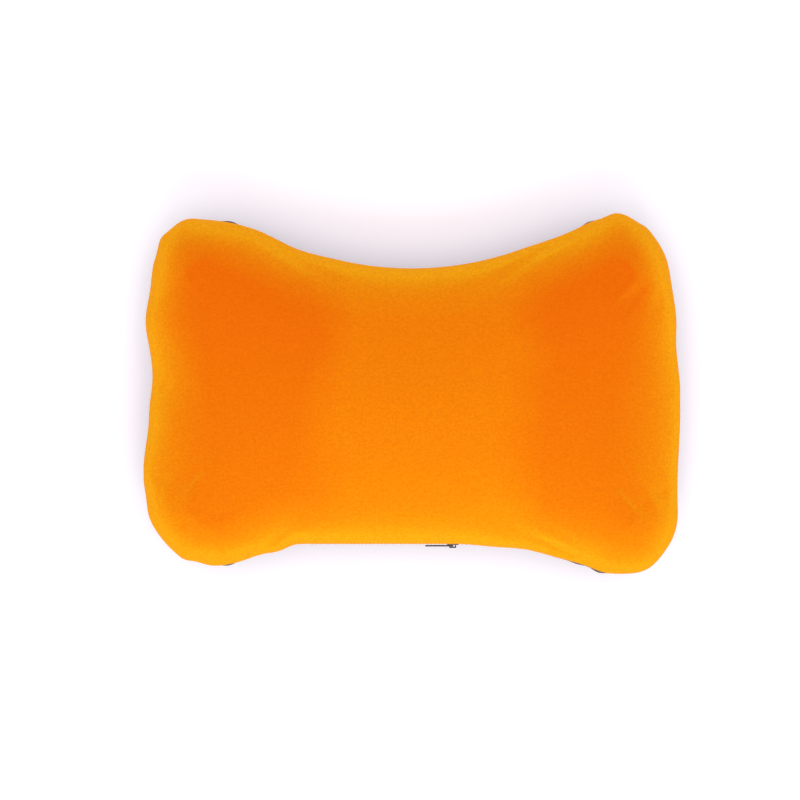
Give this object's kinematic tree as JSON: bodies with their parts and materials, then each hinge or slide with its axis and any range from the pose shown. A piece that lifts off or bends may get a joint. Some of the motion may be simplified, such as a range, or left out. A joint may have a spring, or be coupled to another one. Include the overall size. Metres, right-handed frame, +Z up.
{
  "type": "camp pillow",
  "caption": "Hourglass camp pillow: air bladder under a foam topper in a zipped two-colour fabric cover, with a twist valve under one end.",
  "frame": {"origin": "middle of the flat face that the pillow rests on", "axes": "+X along its length towards the valve's end, +Y from the zipped front edge to the deeper back neck, +Z up through the orange face"},
  "size_m": [0.42, 0.279, 0.096],
  "materials": {
    "cover_top": "orange stretch microsuede, brushed",
    "cover_bottom": "near-black stretch knit",
    "zip_tape": "woven polyester tape",
    "zip_nylon": "semi-gloss nylon coil",
    "zip_metal": "dark lacquered metal",
    "label": "blank satin ribbon",
    "foam": "open-cell foam",
    "bladder_film": "coated film",
    "valve_plastic": "moulded, fine texture",
    "valve_tpu": "smooth moulded elastomer",
    "seal": "smooth moulded seal"
  },
  "bodies": {
    "pillow": {"cover_top_panel": "cover_top", "cover_bottom_panel": "cover_bottom", "foam_topper": "foam", "bladder_upper_skin": "bladder_film", "bladder_lower_skin": "bladder_film", "bladder_baffle_1": "bladder_film", "bladder_baffle_2": "bladder_film", "bladder_baffle_3": "bladder_film", "care_label": "label", "zip_tape_upper": "zip_tape", "zip_tape_lower": "zip_tape", "zip_coil_upper": "zip_nylon", "zip_coil_lower": "zip_nylon", "zip_top_stop_upper": "zip_metal", "zip_top_stop_lower": "zip_metal", "zip_bottom_stop": "zip_metal", "valve_flange": "valve_tpu", "valve_barrel": "valve_plastic", "valve_plug_seal": "seal", "cover_eyelet": "zip_metal"},
    "zip_slider": {"zip_slider_body": "zip_metal"},
    "zip_pull": {"zip_pull_tab": "zip_metal"},
    "valve_seal": {"valve_cap_seal": "seal"},
    "valve_cap": {"valve_cap": "valve_plastic"}
  },
  "joints": [
    {"name": "zip_slide", "type": "slide", "parent": "pillow", "child": "zip_slider", "axis": [-1, 0, 0], "range_m": [0, 0.1], "deforming": ["zip_coil_upper", "zip_coil_lower"]},
    {"name": "zip_pull_swing", "type": "hinge", "parent": "zip_slider", "child": "zip_pull", "pos_m": [0.0321, -0.11893, 0.044], "axis": [0, 0, 1], "range_deg": [0, 170]},
    {"name": "valve_lift", "type": "slide", "parent": "pillow", "child": "valve_seal", "axis": [0.7265, 0, -0.6871], "range_m": [0, 0.002]},
    {"name": "valve_twist", "type": "hinge", "parent": "valve_seal", "child": "valve_cap", "pos_m": [0.196, -0.045, 0.01425], "axis": [0.7265, 0, -0.6871], "range_deg": [0, 270]}
  ],
  "couplings": [
    {"joint": "valve_twist", "follows": "valve_lift", "rad_per_m": 2356.1}
  ]
}
